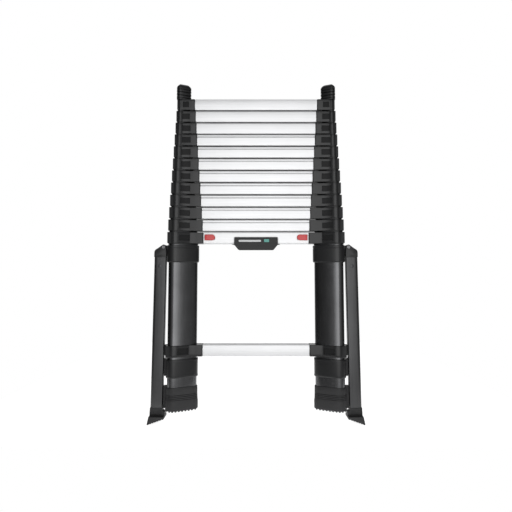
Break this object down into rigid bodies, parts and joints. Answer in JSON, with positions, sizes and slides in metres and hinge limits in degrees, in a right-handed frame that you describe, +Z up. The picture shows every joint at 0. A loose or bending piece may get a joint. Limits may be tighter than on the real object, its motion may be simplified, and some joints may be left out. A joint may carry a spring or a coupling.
{
  "type": "telescoping ladder",
  "caption": "Telescoping ladder, closed: nested tube stiles with collars and stacked rungs, rubber feet and two swing-out stabiliser legs",
  "frame": {"origin": "on the floor, midway between the tips of the two stabiliser legs, in the middle of the depth", "axes": "+X towards the right stile as seen from the front, +Y from the front to the back, +Z up the ladder"},
  "size_m": [0.5726, 0.0902, 0.9214],
  "materials": {
    "anodised_tube": "dark anodised aluminium with fine drawn lines along the tube",
    "collar_plastic": "dark grey moulded nylon, fine texture",
    "rung_aluminium": "bright satin anodised aluminium with a ribbed tread",
    "stile_rubber": "black rubber, moulded grooves",
    "leg_rubber": "black moulded rubber with a treaded sole",
    "leg_aluminium": "dark anodised aluminium with fine drawn lines",
    "head_plastic": "dark moulded nylon",
    "rivet_steel": "dark zinc-plated steel",
    "pin_steel": "zinc-plated steel",
    "button_red": "red moulded plastic",
    "bolt_steel": "plated steel",
    "plate_plastic": "dark grey moulded plastic",
    "window_green": "teal green clear plastic"
  },
  "bodies": {
    "base": {"stile_tubes_01": "anodised_tube", "collars_01": "collar_plastic", "rung_01": "rung_aluminium", "rung_02": "rung_aluminium", "bottom_brackets": "collar_plastic", "lower_sleeves": "collar_plastic", "hinge_brackets": "collar_plastic", "hinge_pins": "pin_steel", "foot_left": "stile_rubber", "foot_right": "stile_rubber", "centre_plate": "plate_plastic", "indicator_window": "window_green"},
    "section_02": {"stile_tubes_02": "anodised_tube", "collars_02": "collar_plastic", "rung_03": "rung_aluminium"},
    "section_03": {"stile_tubes_03": "anodised_tube", "collars_03": "collar_plastic", "rung_04": "rung_aluminium"},
    "section_04": {"stile_tubes_04": "anodised_tube", "collars_04": "collar_plastic", "rung_05": "rung_aluminium"},
    "section_05": {"stile_tubes_05": "anodised_tube", "collars_05": "collar_plastic", "rung_06": "rung_aluminium"},
    "section_06": {"stile_tubes_06": "anodised_tube", "collars_06": "collar_plastic", "rung_07": "rung_aluminium"},
    "section_07": {"stile_tubes_07": "anodised_tube", "collars_07": "collar_plastic", "rung_08": "rung_aluminium"},
    "section_08": {"stile_tubes_08": "anodised_tube", "collars_08": "collar_plastic", "rung_09": "rung_aluminium"},
    "section_09": {"stile_tubes_09": "anodised_tube", "collars_09": "collar_plastic", "rung_10": "rung_aluminium"},
    "section_10": {"stile_tubes_10": "anodised_tube", "collars_10": "collar_plastic", "rung_11": "rung_aluminium"},
    "section_11": {"stile_tubes_11": "anodised_tube", "collars_11": "collar_plastic", "rung_12": "rung_aluminium"},
    "section_12": {"stile_tubes_12": "anodised_tube", "collars_12": "collar_plastic", "rung_13": "rung_aluminium", "top_caps": "collar_plastic"},
    "leg_left": {"leg_tube_left": "leg_aluminium", "leg_head_left": "head_plastic", "leg_foot_left": "leg_rubber", "leg_rivets_left": "rivet_steel"},
    "button_left": {"release_button_left": "button_red", "lock_bolt_left": "bolt_steel"},
    "leg_right": {"leg_tube_right": "leg_aluminium", "leg_head_right": "head_plastic", "leg_foot_right": "leg_rubber", "leg_rivets_right": "rivet_steel"},
    "button_right": {"release_button_right": "button_red", "lock_bolt_right": "bolt_steel"}
  },
  "joints": [
    {"name": "section_02_slide", "type": "slide", "parent": "base", "child": "section_02", "axis": [0, 0, 1], "range_m": [0, 0.2663]},
    {"name": "section_03_slide", "type": "slide", "parent": "section_02", "child": "section_03", "axis": [0, 0, 1], "range_m": [0, 0.2663]},
    {"name": "section_04_slide", "type": "slide", "parent": "section_03", "child": "section_04", "axis": [0, 0, 1], "range_m": [0, 0.2663]},
    {"name": "section_05_slide", "type": "slide", "parent": "section_04", "child": "section_05", "axis": [0, 0, 1], "range_m": [0, 0.2663]},
    {"name": "section_06_slide", "type": "slide", "parent": "section_05", "child": "section_06", "axis": [0, 0, 1], "range_m": [0, 0.2663]},
    {"name": "section_07_slide", "type": "slide", "parent": "section_06", "child": "section_07", "axis": [0, 0, 1], "range_m": [0, 0.2663]},
    {"name": "section_08_slide", "type": "slide", "parent": "section_07", "child": "section_08", "axis": [0, 0, 1], "range_m": [0, 0.2663]},
    {"name": "section_09_slide", "type": "slide", "parent": "section_08", "child": "section_09", "axis": [0, 0, 1], "range_m": [0, 0.2663]},
    {"name": "section_10_slide", "type": "slide", "parent": "section_09", "child": "section_10", "axis": [0, 0, 1], "range_m": [0, 0.2663]},
    {"name": "section_11_slide", "type": "slide", "parent": "section_10", "child": "section_11", "axis": [0, 0, 1], "range_m": [0, 0.2663]},
    {"name": "section_12_slide", "type": "slide", "parent": "section_11", "child": "section_12", "axis": [0, 0, 1], "range_m": [0, 0.2663]},
    {"name": "leg_left_swing", "type": "hinge", "parent": "base", "child": "leg_left", "pos_m": [-0.2519, 0, 0.4675], "axis": [0, 1, 0], "range_deg": [0, 18.8]},
    {"name": "leg_right_swing", "type": "hinge", "parent": "base", "child": "leg_right", "pos_m": [0.2519, 0, 0.4675], "axis": [0, -1, 0], "range_deg": [0, 18.8]},
    {"name": "button_left_slide", "type": "slide", "parent": "base", "child": "button_left", "axis": [1, 0, 0], "range_m": [0, 0.008], "stiffness_N_per_m": 800, "springref_m": -0.004},
    {"name": "button_right_slide", "type": "slide", "parent": "base", "child": "button_right", "axis": [-1, 0, 0], "range_m": [0, 0.008], "stiffness_N_per_m": 800, "springref_m": -0.004}
  ]
}
